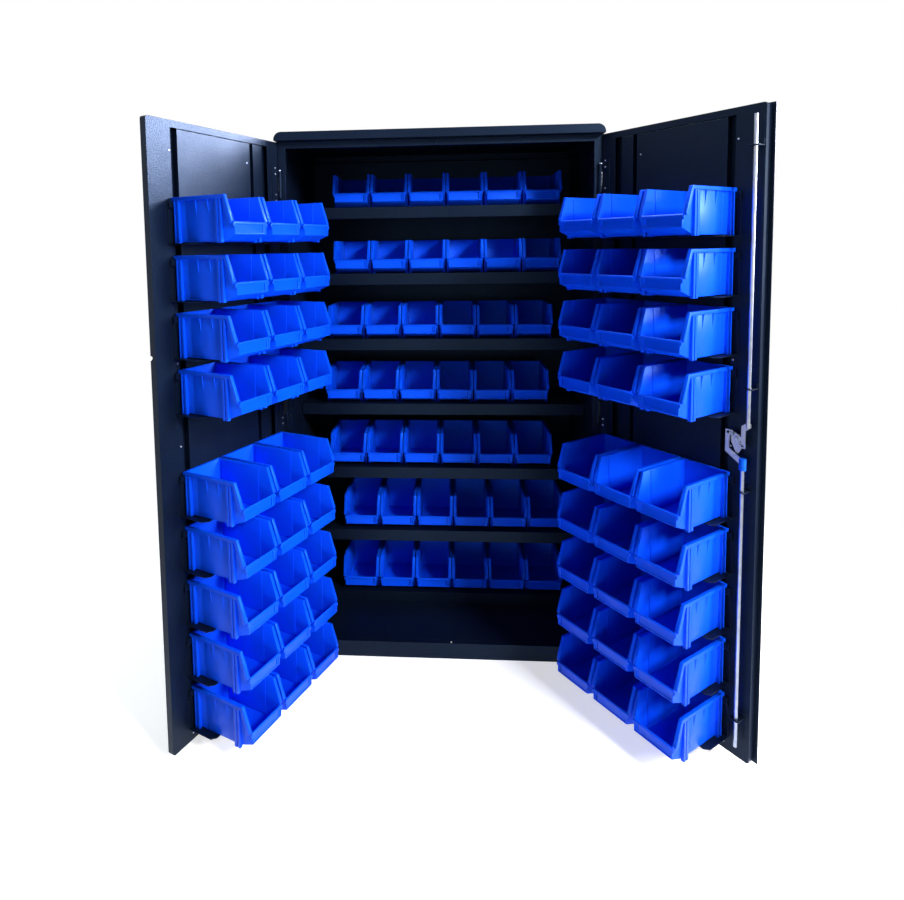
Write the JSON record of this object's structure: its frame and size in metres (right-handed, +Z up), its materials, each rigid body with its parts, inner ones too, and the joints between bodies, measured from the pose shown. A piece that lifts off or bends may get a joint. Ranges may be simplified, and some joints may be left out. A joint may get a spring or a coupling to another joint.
{
  "type": "parts bin cabinet",
  "caption": "Tall two-door steel cabinet whose open doors and shelves carry rows of open-fronted plastic bins for small parts.",
  "frame": {"origin": "middle of the cabinet body's underside, on the middle floor runner", "axes": "+Z up, the doors at the -Y side, +X to the right of someone who faces the open cabinet"},
  "size_m": [1.6362, 1.0767, 1.83],
  "materials": {
    "black_coat": "semi-gloss powder coat with a fine orange-peel texture",
    "bin_plastic": "satin moulded plastic",
    "zinc_steel": "bright zinc plate",
    "handle_coat": "semi-gloss black",
    "cap_plastic": "satin moulded plastic"
  },
  "bodies": {
    "frame": {"left_side_panel": "black_coat", "right_side_panel": "black_coat", "back_panel": "black_coat", "roof_cap": "black_coat", "top_jamb": "black_coat", "sill": "black_coat", "floor_panel": "black_coat", "floor_runners": "black_coat", "shelf_1": "black_coat", "shelf_2": "black_coat", "shelf_3": "black_coat", "shelf_4": "black_coat", "shelf_5": "black_coat", "shelf_6": "black_coat", "shelf_7": "black_coat", "shelf_clips": "black_coat", "hinge_frame_leaves": "black_coat", "hinge_pins": "zinc_steel"},
    "left_door": {"left_door_skin": "black_coat", "left_door_liners": "black_coat", "left_door_rails": "black_coat", "left_hinge_leaves": "black_coat"},
    "right_door": {"right_door_skin": "black_coat", "right_door_liners": "black_coat", "right_door_rails": "black_coat", "right_hinge_leaves": "black_coat", "closing_strip": "black_coat", "lock_plate": "zinc_steel", "rod_guides": "black_coat"},
    "handle": {"door_handle": "handle_coat", "lock_cam": "zinc_steel"},
    "lower_rod": {"lower_lock_rod": "zinc_steel", "lower_rod_cap": "cap_plastic"},
    "upper_rod": {"upper_lock_rod": "zinc_steel"},
    "shelf_row_1": {"shelf_bins_1": "bin_plastic"},
    "shelf_row_2": {"shelf_bins_2": "bin_plastic"},
    "shelf_row_3": {"shelf_bins_3": "bin_plastic"},
    "shelf_row_4": {"shelf_bins_4": "bin_plastic"},
    "shelf_row_5": {"shelf_bins_5": "bin_plastic"},
    "shelf_row_6": {"shelf_bins_6": "bin_plastic"},
    "shelf_row_7": {"shelf_bins_7": "bin_plastic"},
    "left_row_1": {"left_bins_1": "bin_plastic"},
    "left_row_2": {"left_bins_2": "bin_plastic"},
    "left_row_3": {"left_bins_3": "bin_plastic"},
    "left_row_4": {"left_bins_4": "bin_plastic"},
    "left_row_5": {"left_bins_5": "bin_plastic"},
    "left_row_6": {"left_bins_6": "bin_plastic"},
    "left_row_7": {"left_bins_7": "bin_plastic"},
    "left_row_8": {"left_bins_8": "bin_plastic"},
    "left_row_9": {"left_bins_9": "bin_plastic"},
    "right_row_1": {"right_bins_1": "bin_plastic"},
    "right_row_2": {"right_bins_2": "bin_plastic"},
    "right_row_3": {"right_bins_3": "bin_plastic"},
    "right_row_4": {"right_bins_4": "bin_plastic"},
    "right_row_5": {"right_bins_5": "bin_plastic"},
    "right_row_6": {"right_bins_6": "bin_plastic"},
    "right_row_7": {"right_bins_7": "bin_plastic"},
    "right_row_8": {"right_bins_8": "bin_plastic"},
    "right_row_9": {"right_bins_9": "bin_plastic"}
  },
  "joints": [
    {"name": "left_door_hinge", "type": "hinge", "parent": "frame", "child": "left_door", "pos_m": [-0.529, -0.29, 0], "axis": [0, 0, 1], "range_deg": [-15.9, 114.1]},
    {"name": "right_door_hinge", "type": "hinge", "parent": "frame", "child": "right_door", "pos_m": [0.529, -0.29, 0], "axis": [0, 0, -1], "range_deg": [-4.2, 125.8]},
    {"name": "handle_turn", "type": "hinge", "parent": "right_door", "child": "handle", "pos_m": [0.80861, -0.67769, 0.922], "axis": [-0.8111, -0.585, 0], "range_deg": [0, 90]},
    {"name": "lower_rod_slide", "type": "slide", "parent": "right_door", "child": "lower_rod", "axis": [0, 0, -1], "range_m": [0, 0.0283]},
    {"name": "upper_rod_slide", "type": "slide", "parent": "right_door", "child": "upper_rod", "axis": [0, 0, 1], "range_m": [0, 0.0283]},
    {"name": "shelf_row_1_slide", "type": "slide", "parent": "frame", "child": "shelf_row_1", "axis": [0, 1, 0], "range_m": [-0.1, 0]},
    {"name": "shelf_row_2_slide", "type": "slide", "parent": "frame", "child": "shelf_row_2", "axis": [0, 1, 0], "range_m": [-0.1, 0]},
    {"name": "shelf_row_3_slide", "type": "slide", "parent": "frame", "child": "shelf_row_3", "axis": [0, 1, 0], "range_m": [-0.1, 0]},
    {"name": "shelf_row_4_slide", "type": "slide", "parent": "frame", "child": "shelf_row_4", "axis": [0, 1, 0], "range_m": [-0.1, 0]},
    {"name": "shelf_row_5_slide", "type": "slide", "parent": "frame", "child": "shelf_row_5", "axis": [0, 1, 0], "range_m": [-0.1, 0]},
    {"name": "shelf_row_6_slide", "type": "slide", "parent": "frame", "child": "shelf_row_6", "axis": [0, 1, 0], "range_m": [-0.1, 0]},
    {"name": "shelf_row_7_slide", "type": "slide", "parent": "frame", "child": "shelf_row_7", "axis": [0, 1, 0], "range_m": [-0.1, 0]},
    {"name": "left_row_1_lift", "type": "slide", "parent": "left_door", "child": "left_row_1", "axis": [0, 0, 1], "range_m": [0, 0.015]},
    {"name": "left_row_2_lift", "type": "slide", "parent": "left_door", "child": "left_row_2", "axis": [0, 0, 1], "range_m": [0, 0.015]},
    {"name": "left_row_3_lift", "type": "slide", "parent": "left_door", "child": "left_row_3", "axis": [0, 0, 1], "range_m": [0, 0.015]},
    {"name": "left_row_4_lift", "type": "slide", "parent": "left_door", "child": "left_row_4", "axis": [0, 0, 1], "range_m": [0, 0.015]},
    {"name": "left_row_5_lift", "type": "slide", "parent": "left_door", "child": "left_row_5", "axis": [0, 0, 1], "range_m": [0, 0.015]},
    {"name": "left_row_6_lift", "type": "slide", "parent": "left_door", "child": "left_row_6", "axis": [0, 0, 1], "range_m": [0, 0.015]},
    {"name": "left_row_7_lift", "type": "slide", "parent": "left_door", "child": "left_row_7", "axis": [0, 0, 1], "range_m": [0, 0.015]},
    {"name": "left_row_8_lift", "type": "slide", "parent": "left_door", "child": "left_row_8", "axis": [0, 0, 1], "range_m": [0, 0.015]},
    {"name": "left_row_9_lift", "type": "slide", "parent": "left_door", "child": "left_row_9", "axis": [0, 0, 1], "range_m": [0, 0.015]},
    {"name": "right_row_1_lift", "type": "slide", "parent": "right_door", "child": "right_row_1", "axis": [0, 0, 1], "range_m": [0, 0.015]},
    {"name": "right_row_2_lift", "type": "slide", "parent": "right_door", "child": "right_row_2", "axis": [0, 0, 1], "range_m": [0, 0.015]},
    {"name": "right_row_3_lift", "type": "slide", "parent": "right_door", "child": "right_row_3", "axis": [0, 0, 1], "range_m": [0, 0.015]},
    {"name": "right_row_4_lift", "type": "slide", "parent": "right_door", "child": "right_row_4", "axis": [0, 0, 1], "range_m": [0, 0.015]},
    {"name": "right_row_5_lift", "type": "slide", "parent": "right_door", "child": "right_row_5", "axis": [0, 0, 1], "range_m": [0, 0.015]},
    {"name": "right_row_6_lift", "type": "slide", "parent": "right_door", "child": "right_row_6", "axis": [0, 0, 1], "range_m": [0, 0.015]},
    {"name": "right_row_7_lift", "type": "slide", "parent": "right_door", "child": "right_row_7", "axis": [0, 0, 1], "range_m": [0, 0.015]},
    {"name": "right_row_8_lift", "type": "slide", "parent": "right_door", "child": "right_row_8", "axis": [0, 0, 1], "range_m": [0, 0.015]},
    {"name": "right_row_9_lift", "type": "slide", "parent": "right_door", "child": "right_row_9", "axis": [0, 0, 1], "range_m": [0, 0.015]}
  ],
  "couplings": [
    {"joint": "lower_rod_slide", "follows": "handle_turn", "m_per_rad": 0.018},
    {"joint": "upper_rod_slide", "follows": "handle_turn", "m_per_rad": 0.018}
  ]
}
